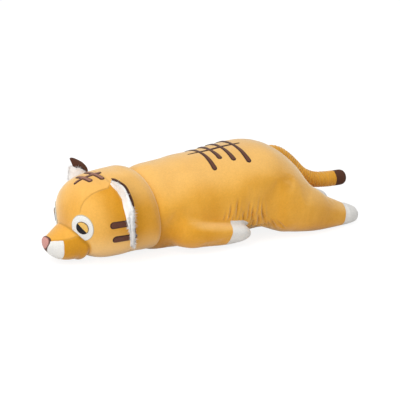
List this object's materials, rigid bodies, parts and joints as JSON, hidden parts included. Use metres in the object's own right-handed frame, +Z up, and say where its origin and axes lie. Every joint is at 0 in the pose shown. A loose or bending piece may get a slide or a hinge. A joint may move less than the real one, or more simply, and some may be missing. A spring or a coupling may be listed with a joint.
{
  "type": "plush tiger",
  "caption": "Soft toy tiger that lies on its belly with its legs stretched back, sewn from velour over fibre filling, with embroidered face and stripes.",
  "frame": {"origin": "middle of the length and width, on the surface that the tiger lies on", "axes": "+X from the head to the tail, +Y to the tiger's right, +Z up"},
  "size_m": [0.6022, 0.192, 0.1588],
  "materials": {
    "golden_velour": "short soft pile",
    "brown_velour": "short soft pile",
    "white_velour": "short soft pile",
    "brown_thread": "satin stitch embroidery",
    "black_thread": "satin stitch embroidery",
    "pink_thread": "satin stitch embroidery",
    "fibre_filling": "loose polyester fibre"
  },
  "bodies": {
    "torso": {"torso_back_cover": "golden_velour", "belly_cover": "golden_velour", "torso_filling": "fibre_filling", "back_stripes": "brown_thread"},
    "neck": {"neck_panel": "golden_velour"},
    "head": {"face_cover": "golden_velour", "head_back_cover": "golden_velour", "muzzle_cover": "golden_velour", "head_filling": "fibre_filling", "nose": "pink_thread", "forehead_mark": "brown_thread", "left_eye_white": "white_velour", "left_eyelid": "golden_velour", "left_pupil": "black_thread", "left_muzzle_patch": "white_velour", "left_upper_cheek_stripe": "brown_thread", "left_lower_cheek_stripe": "brown_thread", "right_eye_white": "white_velour", "right_eyelid": "golden_velour", "right_pupil": "black_thread", "right_muzzle_patch": "white_velour", "right_upper_cheek_stripe": "brown_thread", "right_lower_cheek_stripe": "brown_thread"},
    "left_ear": {"left_ear_front": "white_velour", "left_ear_back": "brown_velour"},
    "left_foreleg": {"left_foreleg_sleeve": "golden_velour", "left_foreleg_paw": "white_velour", "left_foreleg_filling": "fibre_filling"},
    "left_hind_leg": {"left_hind_leg_sleeve": "golden_velour", "left_hind_leg_paw": "white_velour", "left_hind_leg_filling": "fibre_filling"},
    "right_ear": {"right_ear_front": "white_velour", "right_ear_back": "brown_velour"},
    "right_foreleg": {"right_foreleg_sleeve": "golden_velour", "right_foreleg_paw": "white_velour", "right_foreleg_filling": "fibre_filling"},
    "right_hind_leg": {"right_hind_leg_sleeve": "golden_velour", "right_hind_leg_paw": "white_velour", "right_hind_leg_filling": "fibre_filling"},
    "tail": {"tail_sleeve": "golden_velour", "tail_tip": "brown_velour", "tail_filling": "fibre_filling"}
  },
  "joints": [
    {"name": "neck_turn", "type": "hinge", "parent": "torso", "child": "neck", "pos_m": [-0.08586, 0, 0.0745], "axis": [0, 0, 1], "range_deg": [-12, 12], "stiffness_Nm_per_rad": 0.6},
    {"name": "head_nod", "type": "hinge", "parent": "neck", "child": "head", "pos_m": [-0.08586, 0, 0.0745], "axis": [0, 1, 0], "range_deg": [0, 15], "stiffness_Nm_per_rad": 0.6},
    {"name": "left_ear_fold", "type": "hinge", "parent": "head", "child": "left_ear", "pos_m": [-0.17922, -0.07849, 0.08889], "axis": [0.2541, -0.1908, -0.9482], "range_deg": [-12, 12], "stiffness_Nm_per_rad": 0.02},
    {"name": "right_ear_fold", "type": "hinge", "parent": "head", "child": "right_ear", "pos_m": [-0.17922, 0.07849, 0.08889], "axis": [-0.2541, -0.1908, 0.9482], "range_deg": [-12, 12], "stiffness_Nm_per_rad": 0.02},
    {"name": "left_foreleg_swing", "type": "hinge", "parent": "torso", "child": "left_foreleg", "pos_m": [-0.07786, -0.084, 0.0325], "axis": [0, 0, -1], "range_deg": [0, 70], "stiffness_Nm_per_rad": 0.05},
    {"name": "right_foreleg_swing", "type": "hinge", "parent": "torso", "child": "right_foreleg", "pos_m": [-0.07786, 0.084, 0.0325], "axis": [0, 0, 1], "range_deg": [0, 70], "stiffness_Nm_per_rad": 0.05},
    {"name": "left_hind_leg_swing", "type": "hinge", "parent": "torso", "child": "left_hind_leg", "pos_m": [0.12414, -0.088, 0.0485], "axis": [0, 0, -1], "range_deg": [0, 40], "stiffness_Nm_per_rad": 0.08},
    {"name": "right_hind_leg_swing", "type": "hinge", "parent": "torso", "child": "right_hind_leg", "pos_m": [0.12414, 0.088, 0.0485], "axis": [0, 0, 1], "range_deg": [0, 40], "stiffness_Nm_per_rad": 0.08},
    {"name": "tail_lift", "type": "hinge", "parent": "torso", "child": "tail", "pos_m": [0.14414, 0, 0.1415], "axis": [0, -1, 0], "range_deg": [0, 60], "stiffness_Nm_per_rad": 0.03}
  ]
}
